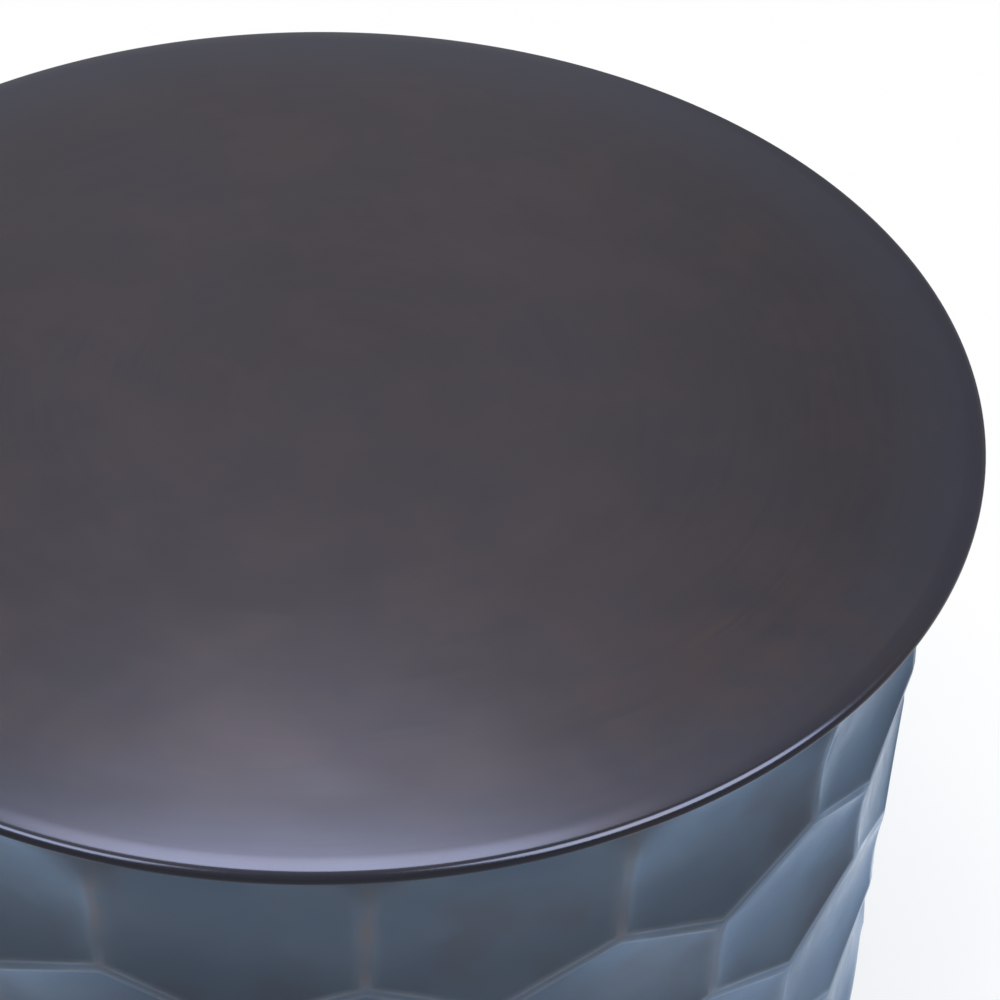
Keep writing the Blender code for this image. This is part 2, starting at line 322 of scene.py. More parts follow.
def makeAir():
    # darker room on the camera's side, white where the camera looks past the floor
    world = bpy.data.worlds.new("studioAir")
    bpy.context.scene.world = world
    world.use_nodes = True
    nodes, links = world.node_tree.nodes, world.node_tree.links
    air = nodes["Background"]
    air.inputs["Color"].default_value = (1, 1, 1, 1)
    way = addNode(nodes, "ShaderNodeTexCoord").outputs["Generated"]
    depth = fadeOf(
        nodes, links, partOf(nodes, links, way, "Y"),
        airSetup["frontEdge"], airSetup["backEdge"], airSetup["front"], airSetup["back"],
    )
    start, stop, low = airSetup["right"]
    side = fadeOf(nodes, links, partOf(nodes, links, way, "X"), start, stop, 1.0, low)
    rays = addNode(nodes, "ShaderNodeLightPath")
    level = mathOf(nodes, links, "MULTIPLY", depth, side)
    links.new(mathOf(nodes, links, "MAXIMUM", rays.outputs["Is Camera Ray"], level), air.inputs["Strength"])
    bpy.context.scene.view_settings.view_transform = "Standard"


clearSelection()
makeFloor()
makeLamps()
makeAir()
print("floor and lamps placed")

# lid: spun sheet with a softly falling border and a rounded, turned-in edge
lidSetup = {
    "segments": 256,
    "hub": 0.02,
    "ringStep": 0.006,
    "rim": 0.36,
    "sheet": 0.0015,
    "fallStart": 0.3475,
    "fallSlope": 6,
    "edgeRadius": 0.0042,
    "edgeDepth": 0.0072,
    "hem": 0.0032,
    "waveHeight": 0.00028,
    "waveSize": 0.055,
    "waveStart": 0.16,
    "waveStop": 0.340,
    "waveMid": 0.95,
}


def lidProfile(top):
    rim, sheet, edge = lidSetup["rim"], lidSetup["sheet"], lidSetup["edgeRadius"]
    start, slope = lidSetup["fallStart"], math.radians(lidSetup["fallSlope"])
    # the border falls on a wide arc that runs into the edge's own small arc
    turn = rim - edge
    wide = (turn + edge * math.sin(slope) - start) / math.sin(slope)
    fall = wide * (1 - math.cos(slope))
    centre = (turn, top - fall - edge * math.cos(slope))
    steps = int((start - lidSetup["hub"]) / lidSetup["ringStep"])
    radii = [lidSetup["hub"] + (start - lidSetup["hub"]) * i / steps for i in range(1, steps)]
    rings = [(r, top) for r in radii]
    rings += arcPoints((start, top - wide), wide, 0, slope, 12)
    rings += arcPoints(centre, edge, slope, math.pi / 2, 16)[1:]
    hem = lidSetup["hem"] / 2
    rings += arcPoints((rim - hem, top - lidSetup["edgeDepth"] + hem), hem, math.pi / 2, 1.5 * math.pi, 12)
    inner = math.asin((rim - 2 * hem - turn) / (edge - sheet))
    rings += arcPoints(centre, edge - sheet, inner, slope, 5)
    rings += arcPoints((start, top - wide), wide - sheet, slope, 0, 6)[1:]
    rings += [(r, top - sheet) for r in reversed(radii[::6])]
    return rings


def makeLid():
    top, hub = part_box("lid_top")[1].z, lidSetup["hub"]
    clearSelection()
    bpy.ops.mesh.primitive_circle_add(
        vertices=lidSetup["segments"], radius=hub, fill_type="TRIFAN", location=(0, 0, top)
    )
    lid = bpy.context.object
    lid.name = "spunLid"
    bpy.ops.object.transform_apply(location=True, rotation=True, scale=True)
    bpy.ops.object.mode_set(mode="EDIT")
    edgesWhere(lid, lambda co: math.hypot(co.x, co.y) > 0.9 * hub)
    extrudeRings((hub, top), lidProfile(top))
    bpy.ops.mesh.edge_face_add()
    bpy.ops.mesh.poke()
    bpy.ops.mesh.select_all(action="SELECT")
    bpy.ops.mesh.remove_doubles(threshold=1e-6)
    bpy.ops.mesh.normals_make_consistent(inside=False)
    bpy.ops.object.mode_set(mode="OBJECT")
    bpy.ops.object.shade_smooth()
    hollowLid(lid, top)
    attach(lid, "lid")
    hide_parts("lid_top")
    return lid


def hollowLid(lid, top):
    # hand-spun sheet is never quite flat: soft hollows, stronger towards the edge
    group = lid.vertex_groups.new(name="soft")
    start, stop = lidSetup["waveStart"], lidSetup["waveStop"]
    for vert in lid.data.vertices:
        radius = math.hypot(vert.co.x, vert.co.y)
        if abs(vert.co.z - top) < 1e-5 and radius < stop:
            rise = min(1, max(0.15, (radius - start) / (0.8 * stop - start)))
            fall = min(1, (stop - radius) / 0.03)
            group.add([vert.index], rise * fall, "REPLACE")
    waves = bpy.data.textures.new("lidWaves", "CLOUDS")
    waves.noise_scale = lidSetup["waveSize"]
    waves.noise_depth = 1
    sag = lid.modifiers.new("waves", "DISPLACE")
    sag.texture = waves
    sag.texture_coords = "LOCAL"
    sag.direction = "Z"
    sag.mid_level = lidSetup["waveMid"]
    sag.strength = lidSetup["waveHeight"]
    sag.vertex_group = "soft"
    applyModifiers(lid)
    lid.vertex_groups.clear()


# drum wall: scooped six-sided cells
wallSetup = {
    "cells": 16,
    "rows": 4,
    "topRadius": 0.344,
    "taper": 0.0385,
    "lidEdge": 0.417,
    "band": 0.012,
    "cellHeight": 0.1145,
    "depth": 0.007,
    "fall": (0.0016, 0.009),
    "flat": (0.0031, 0.36),
    "upright": (0.005, 0.009),
    "uprightSlope": 0.19,
    "runOut": (0.06, 0.022),
    "sheet": 0.0015,
    "edgeCuts": 5,
    "insets": (
        0.0005, 0.0005, 0.0006, 0.0007, 0.0008, 0.0009, 0.0012,
        0.0018, 0.003, 0.005, 0.007, 0.008, 0.008,
    ),
}


def rowLevels(row, top, bottom):
    tall = wallSetup["cellHeight"]
    side = (top - bottom - (wallSetup["rows"] - 2) * 0.75 * tall - tall / 4) / 2
    lower = top - side - row * 0.75 * tall
    return lower + tall / 2, lower   # upper and lower corners of the cell's sides


def borderGaps(x, z, corners):
    # distances to the cell's upright and slanting sides
    upright, slanting = [], [1.0]
    for (ax, az), (bx, bz) in zip(corners, corners[1:] + corners[:1]):
        across = (bx - ax) * (z - az) - (bz - az) * (x - ax)
        side = upright if abs(bx - ax) < 1e-5 else slanting
        side.append(abs(across) / math.hypot(bx - ax, bz - az))
    return min(upright), min(slanting)


def eased(share):
    share = min(1, share)
    return share * share * (3 - 2 * share)


def scoopDepth(x, z, centre, row, top, bottom, corners):
    # dished like a hewn cut: deepest in the middle, rounded over at the raised edges
    tall, width = wallSetup["cellHeight"], 2 * max(corner[0] for corner in corners)
    up = z - centre
    if row == 0:
        up = min(up, 0)
    if row == wallSetup["rows"] - 1:
        up = max(up, 0)
    deep, ridged = 1.0, 1.0
    if row == 0 or row == wallSetup["rows"] - 1:
        edge = top - z if row == 0 else z - bottom   # the hollow runs out slowly, the ridges quickly
        deep, ridged = (eased(edge / reach) for reach in wallSetup["runOut"])
    hollow = 0.75 - (2 * up / tall) ** 2
    across = 0.25 - 0.75 * (2 * x / width) ** 2
    depth = wallSetup["depth"] * (hollow * deep + across * ridged)
    gapUpright, gapSlanting = borderGaps(x, z, corners)
    gap = min(gapUpright, gapSlanting)
    fall, reach = wallSetup["fall"]
    ridge = fall * (1 - math.exp(-gap / reach))
    flat, slope = wallSetup["flat"]
    ridge += slope * max(0, flat - gapSlanting)   # slanting ridges have a narrow flat top
    soft, ease = wallSetup["upright"]
    if gapUpright < soft:   # upright ridges are rounded over
        ridge += wallSetup["uprightSlope"] / soft * (soft - gapUpright) ** 2 * eased(gapSlanting / ease)
    return depth + ridge * ridged, gapUpright, gapSlanting


def makeCellRow(row, top, bottom):
    width = 2 * math.pi * wallSetup["topRadius"] / wallSetup["cells"]
    tall = wallSetup["cellHeight"]
    upper, lower = rowLevels(row, top, bottom)
    centre = (upper + lower) / 2
    clearSelection()
    bpy.ops.mesh.primitive_circle_add(
        vertices=6, radius=1, fill_type="NGON", location=(0, 0, centre), rotation=(math.pi / 2, 0, 0)
    )
    cell = bpy.context.object
    cell.name = f"cellRow{row}"
    cell.scale = (width / 2 / math.cos(math.pi / 6), tall / 2, 1)
    bpy.ops.object.transform_apply(location=True, rotation=True, scale=True)
    bpy.ops.object.mode_set(mode="EDIT")
    for endRow, level, side in ((0, top, 1), (wallSetup["rows"] - 1, bottom, -1)):
        if row == endRow:   # the outer end of the first and last rows is cut straight
            vertsWhere(cell, lambda co: (co.z - centre) * side > 0.001)
            bpy.ops.transform.resize(value=(1, 1, 0), center_override=(0, 0, level))
    editMesh = bmesh.from_edit_mesh(cell.data)
    corners = [(v.co.x, v.co.z) for v in next(iter(editMesh.faces)).verts]
    corners.sort(key=lambda p: math.atan2(p[1] - centre, p[0]))
    bpy.ops.mesh.select_mode(type="FACE")
    bpy.ops.mesh.select_all(action="SELECT")
    for thickness in wallSetup["insets"]:
        bpy.ops.mesh.inset(thickness=thickness, depth=0)
    bpy.ops.mesh.poke()
    bpy.ops.mesh.select_all(action="DESELECT")
    bpy.ops.mesh.select_mode(type="EDGE")
    editMesh = bmesh.from_edit_mesh(cell.data)
    for edge in editMesh.edges:   # the rings, not the spokes
        gaps = [min(borderGaps(vert.co.x, vert.co.z, corners)) for vert in edge.verts]
        edge.select_set(abs(gaps[0] - gaps[1]) < 1e-5)
    bmesh.update_edit_mesh(cell.data)
    bpy.ops.mesh.subdivide(number_cuts=wallSetup["edgeCuts"])
    bpy.ops.object.mode_set(mode="OBJECT")
    uprightGap = cell.data.attributes.new("uprightGap", "FLOAT", "POINT")
    slantGap = cell.data.attributes.new("slantGap", "FLOAT", "POINT")
    for index, vert in enumerate(cell.data.vertices):
        spot = scoopDepth(vert.co.x, vert.co.z, centre, row, top, bottom, corners)
        vert.co.y, uprightGap.data[index].value, slantGap.data[index].value = spot
    array = cell.modifiers.new("around", "ARRAY")
    array.count = wallSetup["cells"]
    array.use_relative_offset = False
    array.use_constant_offset = True
    array.constant_offset_displace = (width, 0, 0)
    applyModifiers(cell)
    shift = (0.5 + 0.5 * (row % 2)) * width
    cell.data.transform(Matrix.Translation((shift, 0, 0)))
    return cell


def makeWall():
    low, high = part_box("drum_shell")
    top, bottom = high.z - wallSetup["band"], low.z + wallSetup["band"]
    rows = [makeCellRow(row, top, bottom) for row in range(wallSetup["rows"])]
    clearSelection()
    for piece in rows:
        piece.select_set(True)
    bpy.context.view_layer.objects.active = rows[0]
    bpy.ops.object.join()
    wall = bpy.context.object
    wall.name = "scoopedWall"
    bpy.ops.object.mode_set(mode="EDIT")
    bpy.ops.mesh.select_all(action="SELECT")
    bpy.ops.mesh.remove_doubles(threshold=2e-5)
    for level, target in ((top, high.z), (bottom, low.z)):
        edgesWhere(wall, lambda co: abs(co.z - level) < 1e-5)
        bpy.ops.mesh.extrude_edges_move(TRANSFORM_OT_translate={"value": (0, 0, target - level)})
    bpy.ops.object.mode_set(mode="OBJECT")
    for vert in wall.data.vertices:   # roll the strip up into the tapered drum
        angle = vert.co.x / wallSetup["topRadius"] - math.pi / 2
        radius = wallSetup["topRadius"] - wallSetup["taper"] * (wallSetup["lidEdge"] - vert.co.z) - vert.co.y
        vert.co = (radius * math.cos(angle), radius * math.sin(angle), vert.co.z)
    bpy.ops.object.mode_set(mode="EDIT")
    bpy.ops.mesh.select_all(action="SELECT")
    bpy.ops.mesh.remove_doubles(threshold=2e-5)
    bpy.ops.mesh.normals_make_consistent(inside=False)
    bpy.ops.object.mode_set(mode="OBJECT")
    sheet = wall.modifiers.new("sheet", "SOLIDIFY")
    sheet.thickness = wallSetup["sheet"]
    sheet.offset = -1
    applyModifiers(wall)
    bpy.ops.object.shade_smooth_by_angle(angle=math.radians(40))
    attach(wall, "drum")
    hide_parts("drum_shell")
    return wall


# angle rings: inside the rim, inside the base and under the lid
ringSetup = {
    "segments": 192,
    "sheet": 0.002,
    "ease": 0.0006,
    "rimInner": 0.305,
    "baseWidth": 0.033,
    "lidWidth": 0.020,
    "holePlay": 0.0003,
}


def nodeCentre(node):
    low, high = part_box(node)
    return (low.x + high.x) / 2, (low.y + high.y) / 2


def cutAway(piece, cutters):
    # the cutters are joined, taken out of the piece and thrown away
    clearSelection()
    for cutter in cutters:
        cutter.select_set(True)
    bpy.context.view_layer.objects.active = cutters[0]
    bpy.ops.object.join()
    tool = bpy.context.object
    cut = piece.modifiers.new("cut", "BOOLEAN")
    cut.object = tool
    cut.operation = "DIFFERENCE"
    cut.solver = "EXACT"
    cut.use_self = True
    applyModifiers(piece)
    bpy.data.objects.remove(tool, do_unlink=True)


def easeEdges(piece, width, segments):
    ease = piece.modifiers.new("ease", "BEVEL")
    ease.width = width
    ease.segments = segments
    ease.limit_method = "ANGLE"
    applyModifiers(piece)


def makeRing(name, profile, node, body):
    clearSelection()
    bpy.ops.mesh.primitive_circle_add(
        vertices=ringSetup["segments"], radius=profile[0][0], location=(0, 0, profile[0][1])
    )
    ring = bpy.context.object
    ring.name = name
    bpy.ops.object.transform_apply(location=True, rotation=True, scale=True)
    bpy.ops.object.mode_set(mode="EDIT")
    bpy.ops.mesh.select_all(action="SELECT")
    extrudeRings(profile[0], profile[1:] + profile[:1])
    bpy.ops.mesh.select_all(action="SELECT")
    bpy.ops.mesh.remove_doubles(threshold=1e-5)
    bpy.ops.mesh.normals_make_consistent(inside=False)
    bpy.ops.object.mode_set(mode="OBJECT")
    easeEdges(ring, ringSetup["ease"], 3)
    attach(ring, body)
    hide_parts(node)
    return ring


def drillRing(ring, node, count, level, radius):
    # one hole for each of the small parts that sit in the flange
    clearSelection()
    pins = []
    for index in range(1, count + 1):
        x, y = nodeCentre(f"{node}_{index}")
        bpy.ops.mesh.primitive_cylinder_add(
            vertices=32, radius=radius + ringSetup["holePlay"], depth=0.008, location=(x, y, level)
        )
        pins.append(bpy.context.object)
    cutAway(ring, pins)


def makeRings():
    sheet = ringSetup["sheet"]
    low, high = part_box("rim_hoop")
    inner = ringSetup["rimInner"]
    rim = makeRing("rimRing", [
        (high.x, high.z), (high.x, low.z), (high.x - sheet, low.z),
        (high.x - sheet, high.z - sheet), (inner, high.z - sheet), (inner, high.z),
    ], "rim_hoop", "drum")
    drillRing(rim, "rim_bumper", bumperSetup["count"], high.z, bumperSetup["stem"])
    low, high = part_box("base_hoop")
    inner = high.x - ringSetup["baseWidth"]
    base = makeRing("baseRing", [
        (high.x, high.z), (high.x, low.z), (inner, low.z),
        (inner, low.z + sheet), (high.x - sheet, low.z + sheet), (high.x - sheet, high.z),
    ], "base_hoop", "drum")
    drillRing(base, "floor_screw", screwSetup["count"], low.z, screwSetup["shank"])
    drillRing(base, "glide", glideSetup["count"], low.z, glideSetup["stem"])
    low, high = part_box("lid_hoop")
    inner = high.x - ringSetup["lidWidth"]
    seat = makeRing("lidRing", [
        (high.x, high.z), (high.x, low.z), (high.x - sheet, low.z),
        (high.x - sheet, high.z - sheet), (inner, high.z - sheet), (inner, high.z),
    ], "lid_hoop", "lid")
    for ring in (rim, base, seat):
        useOnly(ring)
        bpy.ops.object.shade_smooth_by_angle(angle=math.radians(40))
    return [rim, base, seat]


# small turned parts: one of each is modelled, then copied with its own mesh
bumperSetup = {"count": 8, "head": 0.0058, "crown": 0.0018, "rise": 0.003, "stem": 0.0028, "barb": 0.0009}
screwSetup = {"count": 8, "head": 0.0043, "crown": 0.0014, "rise": 0.0026, "shank": 0.0019, "slot": 0.0009}
glideSetup = {"count": 6, "foot": 0.012, "edge": 0.0024, "rise": 0.0097, "stem": 0.004, "lead": 0.0006}


def makeTurned(name, profile, segments):
    # profile of (radius, height) from close to the axis at the top to close to it at the bottom
    first = profile[0]
    clearSelection()
    bpy.ops.mesh.primitive_circle_add(
        vertices=segments, radius=first[0], fill_type="TRIFAN", location=(0, 0, first[1])
    )
    piece = bpy.context.object
    piece.name = name
    bpy.ops.object.transform_apply(location=True, rotation=True, scale=True)
    bpy.ops.object.mode_set(mode="EDIT")
    edgesWhere(piece, lambda co: math.hypot(co.x, co.y) > 0.9 * first[0])
    extrudeRings(first, profile[1:])
    bpy.ops.mesh.edge_face_add()
    bpy.ops.mesh.poke()
    bpy.ops.mesh.select_all(action="SELECT")
    bpy.ops.mesh.normals_make_consistent(inside=False)
    bpy.ops.object.mode_set(mode="OBJECT")
    return piece


def placeCopies(master, name, node, count):
    useOnly(master)
    bpy.ops.object.shade_smooth_by_angle(angle=math.radians(40))
    copies = []
    for index in range(1, count + 1):
        x, y = nodeCentre(f"{node}_{index}")
        useOnly(master)
        bpy.ops.object.duplicate(linked=False)
        piece = bpy.context.object
        piece.name = f"{name}{index}"
        piece.location = (x, y, 0)
        bpy.ops.object.transform_apply(location=True, rotation=True, scale=True)
        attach(piece, "drum")
        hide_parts(f"{node}_{index}")
        copies.append(piece)
    bpy.data.objects.remove(master, do_unlink=True)
    return copies


def makeBumpers():
    low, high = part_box("rim_bumper_1")
    head, crown, stem = bumperSetup["head"], bumperSetup["crown"], bumperSetup["stem"]
    seat = high.z - bumperSetup["rise"]
    barbTop = low.z + bumperSetup["rise"]
    profile = [(0.0012, high.z)]
    profile += arcPoints((head - crown, high.z - crown), crown, 0, math.pi / 2, 8)
    profile += [(head, seat + 0.0003), (head - 0.0003, seat), (stem, seat), (stem, barbTop)]
    profile += [(stem + bumperSetup["barb"], barbTop - 0.0002), (stem, low.z + 0.0002), (0.0012, low.z)]
    master = makeTurned("bumperMaster", profile, 32)
    return placeCopies(master, "rimBumper", "rim_bumper", bumperSetup["count"])


def makeScrews():
    low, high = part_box("floor_screw_1")
    head, crown, shank = screwSetup["head"], screwSetup["crown"], screwSetup["shank"]
    seat = low.z + screwSetup["rise"]
    profile = [(0.0003, high.z), (shank, high.z - shank), (shank, seat), (head, seat)]
    profile += arcPoints((head - crown, low.z + crown), crown, math.pi / 2, math.pi, 8)
    profile.append((0.0006, low.z))
    master = makeTurned("screwMaster", profile, 32)
    clearSelection()
    bars = []
    for size in ((1.2 * head, screwSetup["slot"]), (screwSetup["slot"], 1.2 * head)):   # cross recess
        bpy.ops.mesh.primitive_cube_add(size=1, location=(0, 0, low.z), scale=(*size, screwSetup["rise"]))
        bars.append(bpy.context.object)
    cutAway(master, bars)
    return placeCopies(master, "boardScrew", "floor_screw", screwSetup["count"])


def makeGlides():
    low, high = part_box("glide_1")
    foot, stem, edge, lead = (glideSetup[key] for key in ("foot", "stem", "edge", "lead"))
    seat = glideSetup["rise"]
    profile = [(stem - lead, high.z), (stem, high.z - lead), (stem, seat)]
    profile += arcPoints((foot - lead, seat - lead), lead, 0, math.pi / 2, 4)
    profile += arcPoints((foot - edge, low.z + edge), edge, math.pi / 2, math.pi, 8)
    profile.append((0.004, low.z))
    master = makeTurned("glideMaster", profile, 48)
    return placeCopies(master, "footGlide", "glide", glideSetup["count"])


# flat bars that stiffen the lid, with pressed spot-weld marks
barSetup = {"ease": 0.0008, "marks": 5, "markRadius": 0.004, "markDepth": 0.0005}


def makeBar(name, node):
    low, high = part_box(node)
    middle, size = (low + high) / 2, high - low
    clearSelection()
    bpy.ops.mesh.primitive_cube_add(size=1, location=middle, scale=size)
    bar = bpy.context.object
    bar.name = name
    bpy.ops.object.transform_apply(location=True, rotation=True, scale=True)
    easeEdges(bar, barSetup["ease"], 3)
    along = 0 if size.x > size.y else 1
    clearSelection()
    presses = []
    for index in range(barSetup["marks"]):
        spot = [middle.x, middle.y, low.z]
        spot[along] = low[along] + size[along] * (index + 0.5) / barSetup["marks"]
        flatten = barSetup["markDepth"] / barSetup["markRadius"]
        bpy.ops.mesh.primitive_uv_sphere_add(
            segments=32, ring_count=24, radius=barSetup["markRadius"], location=spot, scale=(1, 1, flatten)
        )
        presses.append(bpy.context.object)
    cutAway(bar, presses)
    bpy.ops.object.shade_smooth_by_angle(angle=math.radians(25))
    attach(bar, "lid")
    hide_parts(node)
    return bar


lidPiece = makeLid()
print("lid made:", len(lidPiece.data.polygons), "faces")
wallPiece = makeWall()
print("wall made:", len(wallPiece.data.polygons), "faces")
ringPieces = makeRings()
barPieces = [
    makeBar("lidBarLong", "lid_brace_long"),
    makeBar("lidBarShort1", "lid_brace_short_1"),
    makeBar("lidBarShort2", "lid_brace_short_2"),
]
print("rings and bars made")
bumperPieces = makeBumpers()
screwPieces = makeScrews()
glidePieces = makeGlides()
print("bumpers, screws and glides made")

# finishes
lidFinish = {
    "bronze": (0.0625, 0.0545, 0.0635),
    "steelBlue": (0.0625, 0.0575, 0.0715),
    "edgeBlue": (0.064, 0.068, 0.095),
    "copper": (0.108, 0.074, 0.066),
    "warm": (0.079, 0.062, 0.067),
    "warmShare": 0.38,
    "streak": (0.088, 0.077, 0.084),
    "streakShare": 0.18,
    "wornSpot": (0.21, -0.25, 0.42),
    "wornShare": 0.36,
    "rough": (0.20, 0.24),
    "marks": (640.0, 12.0),   # per metre, along the radius and across
}


def lidPatina():
    material, nodes, links, metal = newMaterial("lidPatina")
    place = addNode(nodes, "ShaderNodeTexCoord").outputs["Object"]
    flat = addNode(nodes, "ShaderNodeVectorMath", operation="MULTIPLY")
    links.new(place, flat.inputs[0])
    flat.inputs[1].default_value = (1, 1, 0)
    length = addNode(nodes, "ShaderNodeVectorMath", operation="LENGTH")
    links.new(flat.outputs[0], length.inputs[0])
    radius = length.outputs["Value"]
    # spun marks: fast change along the radius, slow change around
    split = addNode(nodes, "ShaderNodeSeparateXYZ")
    links.new(place, split.inputs[0])
    turned = addNode(nodes, "ShaderNodeCombineXYZ")
    along, across = lidFinish["marks"]
    spread = ((radius, along), (split.outputs[0], across), (split.outputs[1], across))
    for socket, (field, rate) in zip(turned.inputs, spread):
        links.new(mathOf(nodes, links, "MULTIPLY", field, rate), socket)
    marks = noiseOf(nodes, links, turned.outputs[0], 1.0, 4.0, 0.62)
    cloud = noiseOf(nodes, links, place, 5.0, 4.0, 0.55)
    mottle = noiseOf(nodes, links, place, 26.0, 5.0, 0.6)
    smudge = noiseOf(nodes, links, place, 15.0, 5.0, 0.62)
    base = rampOf(nodes, links, cloud, [(0.36, lidFinish["bronze"]), (0.66, lidFinish["steelBlue"])])
    warm = fadeOf(nodes, links, smudge, 0.42, 0.64, 0.0, lidFinish["warmShare"])
    base = blendOf(nodes, links, warm, base, lidFinish["warm"])
    edge = fadeOf(nodes, links, radius, 0.28, 0.356, 0.0, 0.8)
    base = blendOf(nodes, links, edge, base, lidFinish["edgeBlue"])
    streak = fadeOf(nodes, links, marks, 0.36, 0.66, 0.0, lidFinish["streakShare"])
    base = blendOf(nodes, links, streak, base, lidFinish["streak"])
    # brown worn through in one spot near the edge
    reach = addNode(nodes, "ShaderNodeVectorMath", operation="DISTANCE")
    links.new(place, reach.inputs[0])
    reach.inputs[1].default_value = lidFinish["wornSpot"]
    spot = fadeOf(nodes, links, reach.outputs["Value"], 0.19, 0.02)
    patches = mathOf(nodes, links, "ADD", mathOf(nodes, links, "MULTIPLY", marks, 0.6), mottle)
    worn = fadeOf(nodes, links, patches, 0.66, 1.0, 0.0, lidFinish["wornShare"])
    worn = mathOf(nodes, links, "MULTIPLY", spot, worn)
    base = blendOf(nodes, links, worn, base, lidFinish["copper"])
    links.new(base, metal.inputs["Base Color"])
    metal.inputs["Metallic"].default_value = 0.9
    wear = mathOf(nodes, links, "ADD", mathOf(nodes, links, "MULTIPLY", marks, 0.3), smudge)
    links.new(fadeOf(nodes, links, wear, 0.5, 0.9, *lidFinish["rough"], False), metal.inputs["Roughness"])
    heights = ((mottle, 0.004, 0.0008), (marks, 0.02, 0.0003))
    links.new(bumpOf(nodes, links, heights), metal.inputs["Normal"])
    return material


wallFinish = {
    "deepBlue": (0.127, 0.166, 0.230),
    "paleBlue": (0.160, 0.203, 0.270),
    "dusk": (0.138, 0.140, 0.172),
    # paler ridge colour: partly rubbed wear, partly painted highlight
    "rubbedAndHighlit": (0.255, 0.285, 0.345),
    "rubAndHighlightReach": (0.010, 0.001),
    "highlightLineReach": (0.0024, 0.0004),
    "brownSpot": (-0.07, -0.34, 0.36),
    "brown": (0.230, 0.165, 0.140),
    "edgeTint": (0.50, 0.60, 0.74),
    "rough": (0.17, 0.26),
}


def wallPatina():
    material, nodes, links, metal = newMaterial("wallPatina")
    place = addNode(nodes, "ShaderNodeTexCoord").outputs["Object"]
    gap, slant = (
        addNode(nodes, "ShaderNodeAttribute", attribute_name=name).outputs["Fac"]
        for name in ("uprightGap", "slantGap")
    )
    cloud = noiseOf(nodes, links, place, 7.0, 4.0, 0.55)
    mottle = noiseOf(nodes, links, place, 38.0, 5.0, 0.6)
    base = rampOf(nodes, links, cloud, [(0.34, wallFinish["deepBlue"]), (0.66, wallFinish["paleBlue"])])
    dusk = noiseOf(nodes, links, place, 13.0, 4.0, 0.6)
    base = blendOf(nodes, links, fadeOf(nodes, links, dusk, 0.48, 0.68, 0.0, 0.5), base, wallFinish["dusk"])
    # upright ridges are rubbed paler, slanting ones along both edges of their flat tops; these paler lines
    # are partly wear and partly a painted highlight on the ridges
    side = mathOf(nodes, links, "SUBTRACT", slant, wallSetup["flat"][0])
    squared = mathOf(nodes, links, "MULTIPLY", side, side)
    highlightLine = fadeOf(nodes, links, squared, *(reach * reach for reach in wallFinish["highlightLineReach"]))
    rubAndHighlight = mathOf(nodes, links, "MAXIMUM", fadeOf(nodes, links, gap, *wallFinish["rubAndHighlightReach"], 0.0, 0.65), highlightLine)
    rubAndHighlight = mathOf(nodes, links, "MULTIPLY", rubAndHighlight, fadeOf(nodes, links, mottle, 0.28, 0.66, 0.2, 0.6))
    base = blendOf(nodes, links, rubAndHighlight, base, wallFinish["rubbedAndHighlit"])
    # brown along the upright ridges, mostly in one part of the wall
    reach = addNode(nodes, "ShaderNodeVectorMath", operation="DISTANCE")
    links.new(place, reach.inputs[0])
    reach.inputs[1].default_value = wallFinish["brownSpot"]
    brownBand = mathOf(
        nodes, links, "MULTIPLY",
        fadeOf(nodes, links, gap, 0.0055, 0.0005), fadeOf(nodes, links, mottle, 0.38, 0.66, 0.0, 0.5),
    )
    near = fadeOf(nodes, links, reach.outputs["Value"], 0.14, 0.30, 1.0, 0.2)
    brownBand = mathOf(nodes, links, "MULTIPLY", brownBand, near)
    base = blendOf(nodes, links, brownBand, base, wallFinish["brown"])
    links.new(base, metal.inputs["Base Color"])
    metal.inputs["Metallic"].default_value = 0.9
    metal.inputs["Specular Tint"].default_value = (*wallFinish["edgeTint"], 1)
    links.new(fadeOf(nodes, links, mottle, 0.3, 0.7, *wallFinish["rough"], False), metal.inputs["Roughness"])
    heights = ((mottle, 0.006, 0.0006),)
    links.new(bumpOf(nodes, links, heights), metal.inputs["Normal"])
    return material


frameFinish = {"black": (0.020, 0.020, 0.022), "dust": (0.034, 0.033, 0.034), "rough": (0.38, 0.52)}


def framePaint():
    # satin paint with a slight orange peel
    material, nodes, links, paint = newMaterial("framePaint")
    place = addNode(nodes, "ShaderNodeTexCoord").outputs["Object"]
    cloud = noiseOf(nodes, links, place, 14.0, 4.0, 0.6)
    peel = noiseOf(nodes, links, place, 650.0, 2.0)
    colour = rampOf(nodes, links, cloud, [(0.35, frameFinish["black"]), (0.72, frameFinish["dust"])])
    links.new(colour, paint.inputs["Base Color"])
    links.new(fadeOf(nodes, links, cloud, 0.3, 0.7, *frameFinish["rough"], False), paint.inputs["Roughness"])
    links.new(bumpOf(nodes, links, ((peel, 0.12, 0.0003),)), paint.inputs["Normal"])
    return material


boardFinish = {"dark": (0.016, 0.015, 0.014), "light": (0.052, 0.047, 0.042), "rough": (0.48, 0.72)}


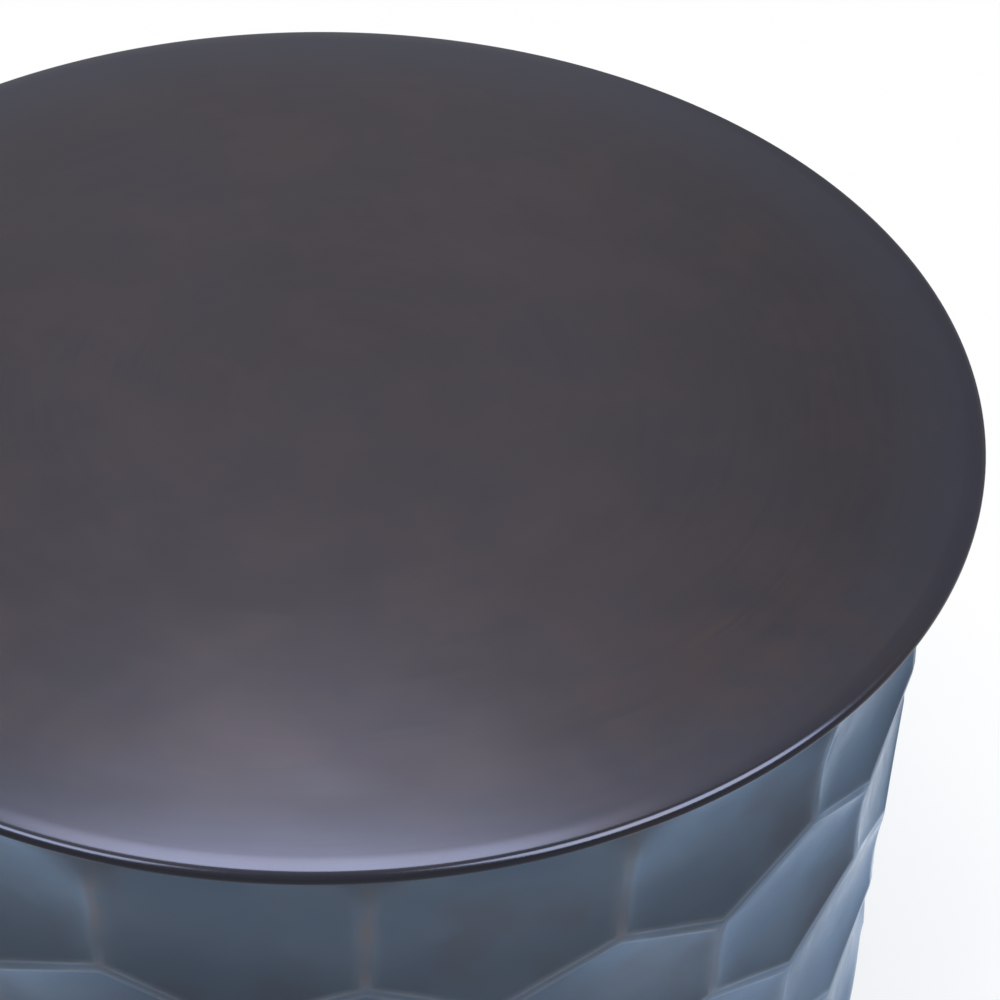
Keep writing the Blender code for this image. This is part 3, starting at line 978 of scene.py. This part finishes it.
def boardStain():
    # black-stained veneer, grain along X
    material, nodes, links, wood = newMaterial("boardStain")
    place = addNode(nodes, "ShaderNodeTexCoord").outputs["Object"]
    stretch = addNode(nodes, "ShaderNodeMapping")
    links.new(place, stretch.inputs["Vector"])
    stretch.inputs["Scale"].default_value = (1.6, 26.0, 26.0)
    figure = noiseOf(nodes, links, stretch.outputs[0], 2.2, 6.0, 0.62)
    fine = addNode(nodes, "ShaderNodeMapping")
    links.new(place, fine.inputs["Vector"])
    fine.inputs["Scale"].default_value = (18.0, 620.0, 620.0)
    pores = noiseOf(nodes, links, fine.outputs[0], 1.0, 3.0, 0.5)
    colour = rampOf(nodes, links, figure, [(0.34, boardFinish["dark"]), (0.68, boardFinish["light"])])
    dark = fadeOf(nodes, links, pores, 0.62, 0.74)
    colour = blendOf(nodes, links, dark, colour, boardFinish["dark"])
    links.new(colour, wood.inputs["Base Color"])
    links.new(fadeOf(nodes, links, figure, 0.3, 0.7, *boardFinish["rough"], False), wood.inputs["Roughness"])
    links.new(bumpOf(nodes, links, ((figure, 0.1, 0.0004), (pores, 0.15, 0.0002))), wood.inputs["Normal"])
    return material


mouldFinish = {
    # colour low, colour high, rough low, rough high, grain scale, grain depth
    "bumperRubber": ((0.011, 0.011, 0.011), (0.020, 0.020, 0.020), 0.70, 0.88, 1500.0, 0.25),
    "glidePlastic": ((0.015, 0.015, 0.016), (0.026, 0.026, 0.027), 0.45, 0.62, 900.0, 0.18),
}


def moulded(name):
    low, high, roughLow, roughHigh, scale, depth = mouldFinish[name]
    material, nodes, links, shader = newMaterial(name)
    place = addNode(nodes, "ShaderNodeTexCoord").outputs["Object"]
    scuffs = noiseOf(nodes, links, place, 160.0, 4.0, 0.6)
    grain = noiseOf(nodes, links, place, scale, 2.0)
    links.new(rampOf(nodes, links, scuffs, [(0.38, low), (0.68, high)]), shader.inputs["Base Color"])
    links.new(fadeOf(nodes, links, scuffs, 0.3, 0.7, roughLow, roughHigh, False), shader.inputs["Roughness"])
    links.new(bumpOf(nodes, links, ((grain, depth, 0.0002),)), shader.inputs["Normal"])
    return material


zincFinish = {"bright": (0.60, 0.60, 0.58), "dull": (0.42, 0.40, 0.34), "rough": (0.24, 0.42)}


def screwZinc():
    material, nodes, links, metal = newMaterial("screwZinc")
    place = addNode(nodes, "ShaderNodeTexCoord").outputs["Object"]
    spangle = noiseOf(nodes, links, place, 700.0, 3.0, 0.6)
    links.new(rampOf(nodes, links, spangle, [(0.4, zincFinish["dull"]), (0.64, zincFinish["bright"])]),
              metal.inputs["Base Color"])
    metal.inputs["Metallic"].default_value = 1.0
    links.new(fadeOf(nodes, links, spangle, 0.3, 0.7, *zincFinish["rough"], False), metal.inputs["Roughness"])
    links.new(bumpOf(nodes, links, ((spangle, 0.1, 0.0001),)), metal.inputs["Normal"])
    return material


def finish(pieces, material):
    for piece in pieces:
        piece.data.materials.clear()
        piece.data.materials.append(material)


finish([lidPiece], lidPatina())
finish([wallPiece], wallPatina())
finish(ringPieces + barPieces, framePaint())
finish(bumperPieces, moulded("bumperRubber"))
finish(glidePieces, moulded("glidePlastic"))
finish(screwPieces, screwZinc())
bpy.data.objects["floor_panel"].material_slots[0].material = boardStain()
print("finishes set")
